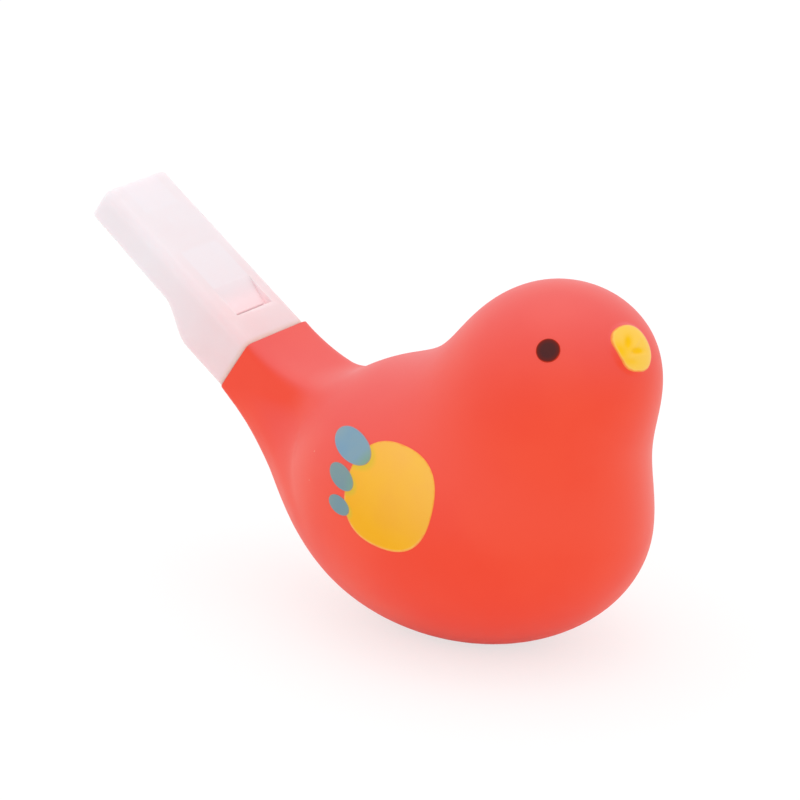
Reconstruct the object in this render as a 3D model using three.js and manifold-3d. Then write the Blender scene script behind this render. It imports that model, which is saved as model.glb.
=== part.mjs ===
// A bird-shaped water whistle. The hollow bird is one piece of soft vinyl with an open tail, and the
// whistle that you blow is a plastic mouthpiece pushed into the tail, with a windway block inside it
// and a tube that dips into the water in the belly.
// Millimetres, +Z up, +X towards the beak, +Y to the bird's left. The origin is the middle of the base.
import * as THREE from 'three';
import { mergeVertices } from 'three/addons/utils/BufferGeometryUtils.js';
import Module from 'manifold-3d';

const DEGREE = Math.PI / 180;

// Belly and head are egg shapes that flow into each other
const BELLY_RADIUS_X = 34.7;
const BELLY_RADIUS_Y = 25.5;
const BELLY_RADIUS_Z = 24.8;
const BASE_CUT = 1.2; // how far the flat base lies above the belly's lowest point
const HEAD_RADIUS_X = 17.3;
const HEAD_RADIUS_Y = 16;
const HEAD_RADIUS_Z = 15.1;
const HEAD_FORWARD = 19.2; // from the belly's middle
const HEAD_UP = 27.55;
const NAPE_BLEND = 17.5; // width of the soft join between head and belly

// The tail narrows to the neck that holds the whistle
const NECK_BACK = 45.55; // from the belly's middle
const NECK_UP = 16.15;
const NECK_HALF_WIDTH = 8.4;
const NECK_HALF_HEIGHT = 5.85;
const TAIL_RISE = 34.7 * DEGREE;
const TAIL_TOP_FLARE = 0.017; // per square millimetre of depth
const TAIL_UNDER_SLOPE = 0.24;
const TAIL_UNDER_EASE = 0.014;
const TAIL_BLEND_ABOVE = 4.3; // the tail joins the back in a tight curve
const TAIL_BLEND_BELOW = 14.6; // and the belly in a wide one
const TAIL_BLEND_LOW = -4; // heights across the tail between which one turns into the other
const TAIL_BLEND_HIGH = 5;
const SQUARE_CORNERS = 15; // exponent of a nearly square section; 2 is an ellipse
const CORNER_FADE = 11.2; // depth over which the neck's corners go soft

// Vinyl skin
const WALL = 1.6;
const FLOOR = 2.2;
const SLEEVE_DEPTH = 8; // straight bore that grips the whistle
const GAP = 0.3; // clearance between pieces that touch
const FILM_LIFT = 0.2; // paint lies this far off the faceted skin
const FILM = 0.25; // thickness of a coat of paint

// Whistle
const MOUTHPIECE_LENGTH = 39.3;
const NECK_LIP = 0.2; // how far the neck's rim stands proud of the mouthpiece
const SPIGOT_LENGTH = 9.5;
const SPIGOT_WALL = 1.3;
const SPIGOT_CORNERS = 2; // corner radii
const TOP_CORNERS = 1.9;
const UNDER_CORNERS = 0.9;
const GRIP_END = 9.9; // where the underside starts to rise, from the rim
const LIP_START = 18.7; // where it is thin enough for the lips
const LIP_HEIGHT = 7.3;
const MOUTH_HEIGHT = 6.8; // it tapers a little towards the mouth
const MOUTH_ROUNDING = 0.8;
const RAMP_START = 12.7; // sloping recess that leads down to the sound slot
const LABIUM = 6.1;
const RAMP_DEPTH = 1.9;
const RECESS_HALF_WIDTH = 4.85;
const SOUND_SLOT = 1.2;
const LABIUM_BEVEL = 3;
const WINDWAY_ROOF = 2.95; // heights above the tail's axis
const WINDWAY_HEIGHT = 1.6;
const BLOCK_THICKNESS = 1.1;
const BLOCK_END = 22;
const MOUTH_POCKET_DEPTH = 8.4;
const MOUTH_POCKET_HALF_WIDTH = 4.8;
const MOUTH_POCKET_INNER = 3.2;
const MOUTH_POCKET_HEIGHT = 3.2;
const TUBE_DIAMETER = 5.4;
const TUBE_BORE = 3.4;
const TUBE_REACH = 50; // from the neck's rim to the tube's wet end
const COLLAR = 2;
const PLUG_LENGTH = 6;

// Face and wings, as angles round the head or belly and sizes on the surface
const EYE_TURN = 64.1 * DEGREE;
const EYE_RISE = 31 * DEGREE;
const EYE_RADIUS = 2.05;
const BEAK_RISE = 26.5 * DEGREE;
const BEAK_HALF_WIDTH = 4.5;
const BEAK_HALF_HEIGHT = 4.1;
const BEAK_THICKNESS = 1.6;
const BEAK_SINK = 0.6;
const BEAK_BLEND = 0.8;
const WING_TURN = 85.7 * DEGREE;
const WING_RISE = 17.9 * DEGREE;
const WING_RADIUS = 9.34;
const WING_BACK = 1; // the yellow patch sits this far behind the wing's centre
const WING_CORNERS = 0.27;
const UPPER_BACK = 11.1; // the blue ovals, from the wing's centre
const UPPER_UP = 6.6;
const UPPER_HALF_LENGTH = 5.2;
const UPPER_HALF_WIDTH = 2.6;
const UPPER_TILT = -18 * DEGREE;
const MIDDLE_BACK = 11.6;
const MIDDLE_UP = 1.1;
const MIDDLE_HALF_LENGTH = 3.45;
const MIDDLE_HALF_WIDTH = 1.85;
const MIDDLE_TILT = -23.5 * DEGREE;
const LOWER_BACK = 11.1;
const LOWER_DOWN = 3.7;
const LOWER_HALF_LENGTH = 2.7;
const LOWER_HALF_WIDTH = 1.5;
const LOWER_TILT = -16 * DEGREE;

// Fineness of the meshes, and the path that the bird's rings follow inside it
const SPINE_FORWARD = 5; // where the rings start to open, from the belly's middle
const SPINE_UP = 7.3;
const SPINE_BEND = 16; // depth at which the path leaves the tail's axis
const SPINE_EASE = 1.5; // how late the rings tilt up towards the beak
const BEAK_MARGIN = 1.6;
const AROUND = 48;
const TAIL_RINGS = 12;
const FRONT_RINGS = 9;
const BEAK_RINGS = 6;
const PATCH_RINGS = 3;
const ROUND_STEPS = 20;
const CORNER_STEPS = 5;
const EDGE_STEPS = 3;
const RISE_STEPS = 5;
const POCKET_STEPS = 6;
const CAST_STEP = 0.5;
const CAST_HALVINGS = 30;
const NUDGE = 0.05; // for measuring how the skin slopes
const BEYOND = 2; // cuts run this far past the faces that they open

const wasm = await Module();
wasm.setup();

// Places worked out from the sizes
const belly = new THREE.Vector3(0, 0, BELLY_RADIUS_Z - BASE_CUT);
const head = new THREE.Vector3(HEAD_FORWARD, 0, belly.z + HEAD_UP);
const neck = new THREE.Vector3(-NECK_BACK, 0, belly.z + NECK_UP);
const inward = new THREE.Vector3(Math.cos(TAIL_RISE), 0, -Math.sin(TAIL_RISE));
const upward = new THREE.Vector3(Math.sin(TAIL_RISE), 0, Math.cos(TAIL_RISE));
const tailEnd = NECK_BACK * Math.cos(TAIL_RISE); // depth at which the tail's shape stops inside the belly
const boreHalfWidth = NECK_HALF_WIDTH - WALL;
const boreHalfHeight = NECK_HALF_HEIGHT - WALL;

// Shape of the bird, as a rough distance to its surface: below zero inside, above zero outside

function eggDistance(point, centre, radiusX, radiusY, radiusZ) {
  const x = (point.x - centre.x) / radiusX;
  const y = (point.y - centre.y) / radiusY;
  const z = (point.z - centre.z) / radiusZ;
  const reach = Math.hypot(x, y, z) + 1e-9;
  const slope = Math.hypot(x / radiusX, y / radiusY, z / radiusZ) + 1e-9;
  return (reach * (reach - 1)) / slope;
}

function softMin(a, b, width) {
  const overlap = Math.max(width - Math.abs(a - b), 0) / width;
  return Math.min(a, b) - (overlap * overlap * width) / 4;
}

// Sections are taken across the tail's axis: a half width, a top, an underside and how square it is
function tailSection(depth) {
  const top = NECK_HALF_HEIGHT + TAIL_TOP_FLARE * depth ** 2;
  const bottom = -(NECK_HALF_HEIGHT + TAIL_UNDER_SLOPE * depth - TAIL_UNDER_EASE * depth ** 2);
  const square = 2 + (SQUARE_CORNERS - 2) * Math.exp(-depth / CORNER_FADE);
  return { halfWidth: NECK_HALF_WIDTH, top, bottom, square };
}

function sectionDistance(section, across, up) {
  const middle = (section.top + section.bottom) / 2;
  const half = (section.top - section.bottom) / 2;
  const powers = Math.abs(across / section.halfWidth) ** section.square
    + Math.abs((up - middle) / half) ** section.square;
  return (powers ** (1 / section.square) - 1) * Math.min(section.halfWidth, half);
}

function bodyDistance(point) {
  const fromNeck = point.clone().sub(neck);
  const depth = fromNeck.dot(inward);
  const up = fromNeck.dot(upward);
  const tail = Math.max(
    sectionDistance(tailSection(Math.max(depth, 0)), point.y, up),
    depth - tailEnd,
  );
  const body = softMin(
    eggDistance(point, head, HEAD_RADIUS_X, HEAD_RADIUS_Y, HEAD_RADIUS_Z),
    eggDistance(point, belly, BELLY_RADIUS_X, BELLY_RADIUS_Y, BELLY_RADIUS_Z),
    NAPE_BLEND,
  );
  const above = THREE.MathUtils.smoothstep(up, TAIL_BLEND_LOW, TAIL_BLEND_HIGH);
  return softMin(body, tail, THREE.MathUtils.lerp(TAIL_BLEND_BELOW, TAIL_BLEND_ABOVE, above));
}

// The hollow follows the skin at the wall's thickness, with a straight sleeve at the neck
function hollowDistance(point) {
  const fromNeck = point.clone().sub(neck);
  const bore = {
    halfWidth: boreHalfWidth,
    top: boreHalfHeight,
    bottom: -boreHalfHeight,
    square: SQUARE_CORNERS,
  };
  const sleeve = Math.max(
    sectionDistance(bore, point.y, fromNeck.dot(upward)),
    fromNeck.dot(inward) - SLEEVE_DEPTH,
  );
  return Math.max(Math.min(bodyDistance(point) + WALL, sleeve), FLOOR - point.z);
}

// First point along a ray where the distance reaches the level
function castOut(start, direction, distance, level = 0) {
  let far = CAST_STEP;
  const at = (reach) => distance(start.clone().addScaledVector(direction, reach)) - level;
  while (at(far) < 0 && far < 4 * BELLY_RADIUS_X) far += CAST_STEP;
  let near = far - CAST_STEP;
  for (let halving = 0; halving < CAST_HALVINGS; halving += 1) {
    const middle = (near + far) / 2;
    if (at(middle) < 0) near = middle;
    else far = middle;
  }
  return start.clone().addScaledVector(direction, (near + far) / 2);
}

// Beak: a low bump that the vinyl is moulded with
function towards(turn, rise) {
  return new THREE.Vector3(Math.cos(rise) * Math.cos(turn), -Math.cos(rise) * Math.sin(turn), Math.sin(rise));
}

const beakDirection = towards(0, BEAK_RISE);
const beakFoot = castOut(head, beakDirection, bodyDistance);
const beakMiddle = beakFoot.clone().addScaledVector(beakDirection, -BEAK_SINK);

function birdDistance(point) {
  const turned = point.clone().sub(beakMiddle).applyAxisAngle(new THREE.Vector3(0, 1, 0), BEAK_RISE);
  const origin = new THREE.Vector3();
  const bump = eggDistance(turned, origin, BEAK_THICKNESS, BEAK_HALF_WIDTH, BEAK_HALF_HEIGHT);
  return softMin(bodyDistance(point), bump, BEAK_BLEND);
}

// Closed skins from rings of points, with a point or a flat cap at each end
function skin(rings, firstPole, lastPole) {
  const around = rings[0].length;
  const points = [...rings.flat(), firstPole, lastPole];
  const first = points.length - 2;
  const last = points.length - 1;
  const faces = [];
  for (let j = 0; j < around; j += 1) {
    const next = (j + 1) % around;
    faces.push(first, j, next);
    for (let i = 0; i + 1 < rings.length; i += 1) {
      const a = i * around;
      const b = a + around;
      faces.push(a + j, b + next, a + next, a + j, b + j, b + next);
    }
    const end = (rings.length - 1) * around;
    faces.push(end + next, end + j, last);
  }
  const geometry = new THREE.BufferGeometry();
  const numbers = points.flatMap((p) => [p.x, p.y, p.z]);
  geometry.setAttribute('position', new THREE.Float32BufferAttribute(numbers, 3));
  geometry.setIndex(faces);
  return geometry;
}

function solid(geometry) {
  const bare = geometry.clone();
  bare.deleteAttribute('normal');
  bare.deleteAttribute('uv');
  const merged = mergeVertices(bare, 1e-4);
  return new wasm.Manifold(new wasm.Mesh({
    numProp: 3,
    vertProperties: new Float32Array(merged.attributes.position.array),
    triVerts: new Uint32Array(merged.index.array),
  }));
}

function piece(name, shape, material) {
  const mesh = shape.getMesh();
  const geometry = new THREE.BufferGeometry();
  geometry.setAttribute('position', new THREE.BufferAttribute(mesh.vertProperties, 3));
  geometry.setIndex(new THREE.BufferAttribute(mesh.triVerts, 1));
  const made = new THREE.Mesh(geometry, material);
  made.name = name;
  return made;
}

// Rings of rays sweep from the neck to the middle of the body, then open out and close round the beak
const heart = new THREE.Vector3(SPINE_FORWARD, 0, belly.z + SPINE_UP);
const bend = neck.clone().addScaledVector(inward, SPINE_BEND);
const spine = new THREE.QuadraticBezierCurve3(neck, bend, heart);
const toBeak = beakFoot.clone().sub(heart);
const beakTilt = Math.atan2(toBeak.z, toBeak.x);
const beakSpread = BEAK_MARGIN * Math.atan(BEAK_HALF_WIDTH / toBeak.length());

function rayRing(share, opening) {
  const start = spine.getPoint(share);
  const tilt = -TAIL_RISE + (beakTilt + TAIL_RISE) * share ** SPINE_EASE;
  const ahead = new THREE.Vector3(Math.cos(tilt), 0, Math.sin(tilt));
  const up = new THREE.Vector3(-Math.sin(tilt), 0, Math.cos(tilt));
  // Close to the neck the rays bunch up at its corners
  const aspect = THREE.MathUtils.lerp(NECK_HALF_WIDTH / NECK_HALF_HEIGHT, 1, share);
  const rays = [];
  for (let j = 0; j < AROUND; j += 1) {
    const turn = (2 * Math.PI * j) / AROUND;
    const angle = Math.atan2(aspect * Math.sin(turn), Math.cos(turn));
    const direction = up.clone().multiplyScalar(Math.cos(angle) * Math.cos(opening))
      .add(new THREE.Vector3(0, Math.sin(angle) * Math.cos(opening), 0))
      .addScaledVector(ahead, Math.sin(opening));
    rays.push({ start, direction: direction.normalize() });
  }
  return { rays, start, ahead };
}

const sweep = [];
const wide = Math.PI / 2 - beakSpread;
for (let i = 0; i <= TAIL_RINGS; i += 1) sweep.push(rayRing(i / TAIL_RINGS, 0));
for (let i = 1; i <= FRONT_RINGS; i += 1) sweep.push(rayRing(1, (wide * i) / FRONT_RINGS));
for (let i = 1; i < BEAK_RINGS; i += 1) sweep.push(rayRing(1, wide + (beakSpread * i) / BEAK_RINGS));
const face = sweep[sweep.length - 1];

function sweptRings(distance) {
  return sweep.map((ring) => ring.rays.map((ray) => castOut(ray.start, ray.direction, distance)));
}

function sweptPole(distance) {
  return castOut(face.start, face.ahead, distance);
}

function bodyShell() {
  const outside = sweptRings(birdDistance);
  const inside = sweptRings(hollowDistance).reverse();
  const shell = solid(skin([...inside, ...outside], sweptPole(hollowDistance), sweptPole(birdDistance)));
  const below = new THREE.BoxGeometry(4 * BELLY_RADIUS_X, 4 * BELLY_RADIUS_Y, BELLY_RADIUS_Z);
  below.translate(0, 0, -BELLY_RADIUS_Z / 2);
  return shell.subtract(solid(below));
}

// Paint films: an outline in the plane that touches the bird at the mark's middle, cast onto the skin
function surfaceFrame(origin, direction) {
  const middle = castOut(origin, direction, birdDistance);
  const slope = (axis) => birdDistance(middle.clone().addScaledVector(axis, NUDGE))
    - birdDistance(middle.clone().addScaledVector(axis, -NUDGE));
  const normal = new THREE.Vector3(
    slope(new THREE.Vector3(1, 0, 0)),
    slope(new THREE.Vector3(0, 1, 0)),
    slope(new THREE.Vector3(0, 0, 1)),
  ).normalize();
  const forward = new THREE.Vector3(0, 0, 1).cross(normal).normalize();
  if (forward.x < 0) forward.negate();
  const up = forward.clone().cross(normal);
  if (up.z < 0) up.negate();
  return { middle, normal, forward, up };
}

function filmOnSkin(frame, centre, outline, steps, bottomLevel, topLevel) {
  const depth = HEAD_RADIUS_X / 2;
  const cast = (share, angle, level) => {
    const [forward, up] = outline(angle);
    const start = frame.middle.clone()
      .addScaledVector(frame.forward, centre.forward + share * forward)
      .addScaledVector(frame.up, centre.up + share * up)
      .addScaledVector(frame.normal, -depth);
    return castOut(start, frame.normal, birdDistance, level);
  };
  const ringOf = (share, level) => {
    const ring = [];
    for (let j = 0; j < steps; j += 1) ring.push(cast(share, (2 * Math.PI * j) / steps, level));
    return ring;
  };
  const shares = [];
  for (let i = 1; i <= PATCH_RINGS; i += 1) shares.push(i / PATCH_RINGS);
  const upper = shares.map((share) => ringOf(share, topLevel));
  const lower = shares.map((share) => ringOf(share, bottomLevel)).reverse();
  return solid(skin([...upper, ...lower], cast(0, 0, topLevel), cast(0, 0, bottomLevel)));
}

function oval(halfLength, halfWidth, tilt, grow = 0) {
  return (angle) => {
    const along = (halfLength + grow) * Math.cos(angle);
    const across = (halfWidth + grow) * Math.sin(angle);
    return [
      along * Math.cos(tilt) - across * Math.sin(tilt),
      along * Math.sin(tilt) + across * Math.cos(tilt),
    ];
  };
}

const feathers = [
  {
    name: 'upper',
    back: UPPER_BACK,
    up: UPPER_UP,
    halfLength: UPPER_HALF_LENGTH,
    halfWidth: UPPER_HALF_WIDTH,
    tilt: UPPER_TILT,
  },
  {
    name: 'middle',
    back: MIDDLE_BACK,
    up: MIDDLE_UP,
    halfLength: MIDDLE_HALF_LENGTH,
    halfWidth: MIDDLE_HALF_WIDTH,
    tilt: MIDDLE_TILT,
  },
  {
    name: 'lower',
    back: LOWER_BACK,
    up: -LOWER_DOWN,
    halfLength: LOWER_HALF_LENGTH,
    halfWidth: LOWER_HALF_WIDTH,
    tilt: LOWER_TILT,
  },
];

// The yellow patch is a round pulled out a little at four corners
function wingOutline(angle) {
  const radius = WING_RADIUS - WING_CORNERS * Math.cos(4 * angle);
  return [radius * Math.cos(angle), radius * Math.sin(angle)];
}

const eyeFrame = surfaceFrame(head, towards(EYE_TURN, EYE_RISE));
const wingFrame = surfaceFrame(belly, towards(WING_TURN, WING_RISE));
const beakFrame = surfaceFrame(head, beakDirection);

function eyeFilm() {
  const outline = oval(EYE_RADIUS, EYE_RADIUS, 0);
  return filmOnSkin(eyeFrame, { forward: 0, up: 0 }, outline, ROUND_STEPS, FILM_LIFT, FILM_LIFT + FILM);
}

function featherFilm(feather, grow, lowLevel, highLevel) {
  const centre = { forward: -feather.back, up: feather.up };
  const outline = oval(feather.halfLength, feather.halfWidth, feather.tilt, grow);
  return filmOnSkin(wingFrame, centre, outline, ROUND_STEPS, lowLevel, highLevel);
}

function wingPatch() {
  const centre = { forward: -WING_BACK, up: 0 };
  let patch = filmOnSkin(wingFrame, centre, wingOutline, 2 * ROUND_STEPS, FILM_LIFT, FILM_LIFT + FILM);
  for (const feather of feathers) {
    patch = patch.subtract(featherFilm(feather, FILM_LIFT, FILM_LIFT - FILM, FILM_LIFT + 2 * FILM));
  }
  return patch;
}

function beakFilm() {
  const outline = oval(BEAK_HALF_WIDTH, BEAK_HALF_HEIGHT, 0);
  return filmOnSkin(beakFrame, { forward: 0, up: 0 }, outline, ROUND_STEPS, FILM_LIFT, FILM_LIFT + FILM);
}

// Whistle pieces are drawn along the tail's own axis: x runs into the bird from the neck's rim, z is up
// A section is a rounded box, with its own corner radii above and below
function sectionRing(x, section) {
  const corners = [
    { side: 1, up: 1, from: 0, radius: section.topCorners },
    { side: 1, up: -1, from: 1, radius: section.underCorners },
    { side: -1, up: -1, from: 2, radius: section.underCorners },
    { side: -1, up: 1, from: 3, radius: section.topCorners },
  ];
  return corners.flatMap(({ side, up, from, radius }) => {
    const across = side * (section.halfWidth - radius);
    const height = up > 0 ? section.top - radius : section.bottom + radius;
    return Array.from({ length: CORNER_STEPS + 1 }, (_, k) => {
      const angle = (Math.PI / 2) * (from + k / CORNER_STEPS);
      return new THREE.Vector3(x, across + radius * Math.sin(angle), height + radius * Math.cos(angle));
    });
  });
}

function loft(stations) {
  const middleOf = ({ x, section }) => new THREE.Vector3(x, 0, (section.top + section.bottom) / 2);
  return solid(skin(stations.map(({ x, section }) => sectionRing(x, section)), middleOf(stations[0]),
    middleOf(stations[stations.length - 1])));
}

function box(x0, x1, halfWidth, z0, z1) {
  const geometry = new THREE.BoxGeometry(x1 - x0, 2 * halfWidth, z1 - z0);
  geometry.translate((x0 + x1) / 2, 0, (z0 + z1) / 2);
  return solid(geometry);
}

// A side profile of x and z points, as wide as asked
function slab(points, halfWidth) {
  const shape = new THREE.Shape(points.map(([x, z]) => new THREE.Vector2(x, z)));
  const geometry = new THREE.ExtrudeGeometry(shape, { depth: 2 * halfWidth, bevelEnabled: false });
  geometry.rotateX(Math.PI / 2);
  geometry.translate(0, halfWidth, 0);
  return solid(geometry);
}

// A plan outline of x and y points, between two heights
function plate(shape, z0, z1) {
  const geometry = new THREE.ExtrudeGeometry(shape, {
    depth: z1 - z0,
    bevelEnabled: false,
    curveSegments: POCKET_STEPS,
  });
  geometry.translate(0, 0, z0);
  return solid(geometry);
}

function rod(x0, x1, diameter) {
  const geometry = new THREE.CylinderGeometry(diameter / 2, diameter / 2, x1 - x0, ROUND_STEPS);
  geometry.rotateZ(Math.PI / 2);
  geometry.translate((x0 + x1) / 2, 0, 0);
  return solid(geometry);
}

const grip = NECK_HALF_HEIGHT - NECK_LIP;
const spigot = {
  halfWidth: boreHalfWidth - GAP,
  top: boreHalfHeight - GAP,
  bottom: GAP - boreHalfHeight,
  topCorners: SPIGOT_CORNERS,
  underCorners: SPIGOT_CORNERS,
};
const chamberHalfWidth = spigot.halfWidth - SPIGOT_WALL;
const chamberHalfHeight = spigot.top - SPIGOT_WALL;
const windwayFloor = WINDWAY_ROOF - WINDWAY_HEIGHT;
const blockBottom = windwayFloor - BLOCK_THICKNESS;
const slotStart = LABIUM + SOUND_SLOT;

// The underside is level under the neck, rises to a step for the teeth and runs level to the lips
function mouthpieceSection(fromRim, inset) {
  const rise = THREE.MathUtils.smoothstep(fromRim, GRIP_END, LIP_START);
  const thinner = THREE.MathUtils.smoothstep(fromRim, LIP_START, MOUTHPIECE_LENGTH);
  const height = 2 * grip - rise * (2 * grip - LIP_HEIGHT) - thinner * (LIP_HEIGHT - MOUTH_HEIGHT);
  return {
    halfWidth: NECK_HALF_WIDTH - NECK_LIP - inset,
    top: grip - inset,
    bottom: grip - height + inset,
    topCorners: TOP_CORNERS - inset,
    underCorners: UNDER_CORNERS - inset,
  };
}

function mouthpiece() {
  const stations = [];
  for (let i = EDGE_STEPS; i >= 0; i -= 1) {
    const turn = ((Math.PI / 2) * i) / EDGE_STEPS;
    const fromRim = MOUTHPIECE_LENGTH - MOUTH_ROUNDING * (1 - Math.sin(turn));
    const inset = MOUTH_ROUNDING * (1 - Math.cos(turn));
    stations.push({ x: -fromRim, section: mouthpieceSection(fromRim, inset) });
  }
  for (let i = RISE_STEPS; i >= 0; i -= 1) {
    const fromRim = GRIP_END + ((LIP_START - GRIP_END) * i) / RISE_STEPS;
    stations.push({ x: -fromRim, section: mouthpieceSection(fromRim, 0) });
  }
  stations.push({ x: -GAP, section: mouthpieceSection(GAP, 0) });
  stations.push({ x: -GAP, section: spigot });
  stations.push({ x: SPIGOT_LENGTH, section: spigot });

  const jet = (WINDWAY_ROOF + windwayFloor) / 2;
  const labium = slab([
    [-LABIUM, grip],
    [-LABIUM, jet],
    [LABIUM_BEVEL - LABIUM, chamberHalfHeight + GAP],
    [LABIUM_BEVEL - LABIUM, grip],
  ], NECK_HALF_WIDTH);
  const chamberEnd = SPIGOT_LENGTH + BEYOND;
  const chamber = box(-slotStart, chamberEnd, chamberHalfWidth, -chamberHalfHeight, chamberHalfHeight);
  const ramp = slab([
    [-RAMP_START, grip],
    [-LABIUM, grip - RAMP_DEPTH],
    [-LABIUM, grip + BEYOND],
    [-RAMP_START, grip + BEYOND],
  ], RECESS_HALF_WIDTH);
  const slotHalfWidth = RECESS_HALF_WIDTH - GAP;
  const slot = box(-slotStart, -LABIUM, slotHalfWidth, windwayFloor, grip);
  const blockSeat = box(-BLOCK_END - GAP, GAP - slotStart, slotHalfWidth, blockBottom - GAP, WINDWAY_ROOF);
  const windwayHalfWidth = MOUTH_POCKET_INNER - GAP;
  const windwayStart = GAP - MOUTHPIECE_LENGTH;
  const windway = box(windwayStart, -BLOCK_END, windwayHalfWidth, windwayFloor, WINDWAY_ROOF - GAP);
  const outline = new THREE.Shape();
  const innerEnd = MOUTH_POCKET_DEPTH - MOUTH_POCKET_INNER - MOUTHPIECE_LENGTH;
  outline.moveTo(-MOUTHPIECE_LENGTH - BEYOND, -MOUTH_POCKET_HALF_WIDTH);
  outline.lineTo(-MOUTHPIECE_LENGTH, -MOUTH_POCKET_HALF_WIDTH);
  outline.absarc(innerEnd, 0, MOUTH_POCKET_INNER, -Math.PI / 2, Math.PI / 2, false);
  outline.lineTo(-MOUTHPIECE_LENGTH, MOUTH_POCKET_HALF_WIDTH);
  outline.lineTo(-MOUTHPIECE_LENGTH - BEYOND, MOUTH_POCKET_HALF_WIDTH);
  const pocket = plate(outline, jet - MOUTH_POCKET_HEIGHT / 2, jet + MOUTH_POCKET_HEIGHT / 2);
  const cuts = chamber.subtract(labium).add(ramp).add(slot).add(blockSeat).add(windway).add(pocket);
  return loft(stations).subtract(cuts);
}

function windwayBlock() {
  return box(-BLOCK_END, -slotStart, RECESS_HALF_WIDTH - 2 * GAP, blockBottom, windwayFloor);
}

function resonatorTube() {
  const start = SPIGOT_LENGTH + GAP;
  const plugHalfHeight = chamberHalfHeight - GAP;
  const plugHalfWidth = chamberHalfWidth - GAP;
  const plug = box(start - PLUG_LENGTH, start + COLLAR / 2, plugHalfWidth, -plugHalfHeight, plugHalfHeight);
  const collar = loft([{ x: start, section: spigot }, { x: start + COLLAR, section: spigot }]);
  const tube = rod(start + COLLAR / 2, TUBE_REACH, TUBE_DIAMETER);
  return plug.add(collar).add(tube).subtract(rod(-MOUTHPIECE_LENGTH, TUBE_REACH + GAP, TUBE_BORE));
}

// Materials
function finish(color, roughness) {
  return new THREE.MeshStandardMaterial({ color, roughness, metalness: 0 });
}

const redVinyl = () => finish(0xf0523a, 0.55);
const yellowPaint = () => finish(0xf9bb48, 0.5);
const bluePaint = () => finish(0x83a2af, 0.5);
const eyePaint = () => finish(0x3b2523, 0.3);
const beakPaint = () => finish(0xfdc736, 0.45);
const milkyPlastic = () => finish(0xf3e3e7, 0.35);
const whitePlastic = () => finish(0xf6f2ef, 0.4);

// Assembly
const whistle = new THREE.Group();
whistle.position.copy(neck);
whistle.rotation.y = TAIL_RISE;
whistle.add(
  piece('mouthpiece', mouthpiece(), milkyPlastic()),
  piece('windway_block', windwayBlock(), whitePlastic()),
  piece('resonator_tube', resonatorTube(), whitePlastic()),
);

const bird = new THREE.Group();
bird.add(
  piece('body_shell', bodyShell(), redVinyl()),
  piece('beak_paint', beakFilm(), beakPaint()),
  whistle,
);

for (const side of ['right', 'left']) {
  const mirror = side === 'left' ? [1, -1, 1] : [1, 1, 1];
  const place = (shape) => (side === 'left' ? shape.scale(mirror) : shape);
  bird.add(
    piece(`eye_${side}`, place(eyeFilm()), eyePaint()),
    piece(`wing_patch_${side}`, place(wingPatch()), yellowPaint()),
  );
  for (const feather of feathers) {
    const film = featherFilm(feather, 0, FILM_LIFT, FILM_LIFT + FILM);
    bird.add(piece(`wing_feather_${feather.name}_${side}`, place(film), bluePaint()));
  }
}

export default bird;
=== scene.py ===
# %% [markdown]
# # A bird whistle that holds water
#
# The bird is a hollow of satin red vinyl with an upturned tail, and a flat whistle of milky plastic is
# pushed into the tail. This lesson gives each piece the fine surface and the finish of the real toy. Sizes
# and places are those of the imported model, in millimetres until a mesh is made.

# %% Start from the imported model
import math

import bmesh
import bpy
import numpy as np
from mathutils import Matrix, Vector


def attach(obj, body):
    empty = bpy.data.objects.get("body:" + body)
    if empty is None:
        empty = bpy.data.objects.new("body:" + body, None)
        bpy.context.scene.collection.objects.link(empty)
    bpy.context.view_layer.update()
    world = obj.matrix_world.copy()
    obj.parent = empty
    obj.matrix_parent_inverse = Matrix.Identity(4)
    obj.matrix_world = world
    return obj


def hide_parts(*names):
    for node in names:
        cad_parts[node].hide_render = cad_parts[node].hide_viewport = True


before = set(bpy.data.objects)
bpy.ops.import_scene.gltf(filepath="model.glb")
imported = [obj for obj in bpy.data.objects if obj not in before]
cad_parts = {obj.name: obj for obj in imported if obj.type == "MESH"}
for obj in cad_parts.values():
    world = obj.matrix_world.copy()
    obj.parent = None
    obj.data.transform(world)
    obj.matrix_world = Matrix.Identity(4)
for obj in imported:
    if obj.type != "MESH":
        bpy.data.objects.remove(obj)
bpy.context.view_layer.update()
scene = bpy.context.scene
MM = 0.001
print("nodes:", ", ".join(sorted(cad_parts)))

# %% [markdown]
# ## The shape of the bird as a formula
#
# The body could be sculpted by hand or built from spheres with a remesh. A formula is surer: a rough distance
# to the surface, below zero inside, where an egg for the belly and an egg for the head flow into each other
# and a tail with a squarish section grows out of the back. Every later piece that lies on the skin, such as
# the paint, asks the same formula where the skin is, so it fits at any fineness.

# %% Sizes of the bird
BELLY = np.array([0.0, 0.0, 23.6])
BELLY_RADII = np.array([34.7, 25.5, 24.8])
HEAD = BELLY + [19.2, 0.0, 27.55]
HEAD_RADII = np.array([17.3, 16.0, 15.1])
NAPE_BLEND = 17.5
NECK_BACK = 45.55
NECK = BELLY + [-NECK_BACK, 0.0, 16.15]
NECK_HALF = np.array([8.4, 5.85])  # half the width and half the height of the neck's rim
TAIL_RISE = math.radians(34.7)
INWARD = np.array([math.cos(TAIL_RISE), 0.0, -math.sin(TAIL_RISE)])
UPWARD = np.array([math.sin(TAIL_RISE), 0.0, math.cos(TAIL_RISE)])
TAIL_END = NECK_BACK * math.cos(TAIL_RISE)  # depth at which the tail's shape stops inside the belly
BACK_CURVE = 0.017  # how the tail's back rises with the square of the depth
UNDER_SLOPE = 0.24
UNDER_CURVE = 0.014
SQUARE = 15.0  # how square the neck's section is, where 2 would be an ellipse
SQUARE_FADE = 11.2  # depth in which the section grows rounder
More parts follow.
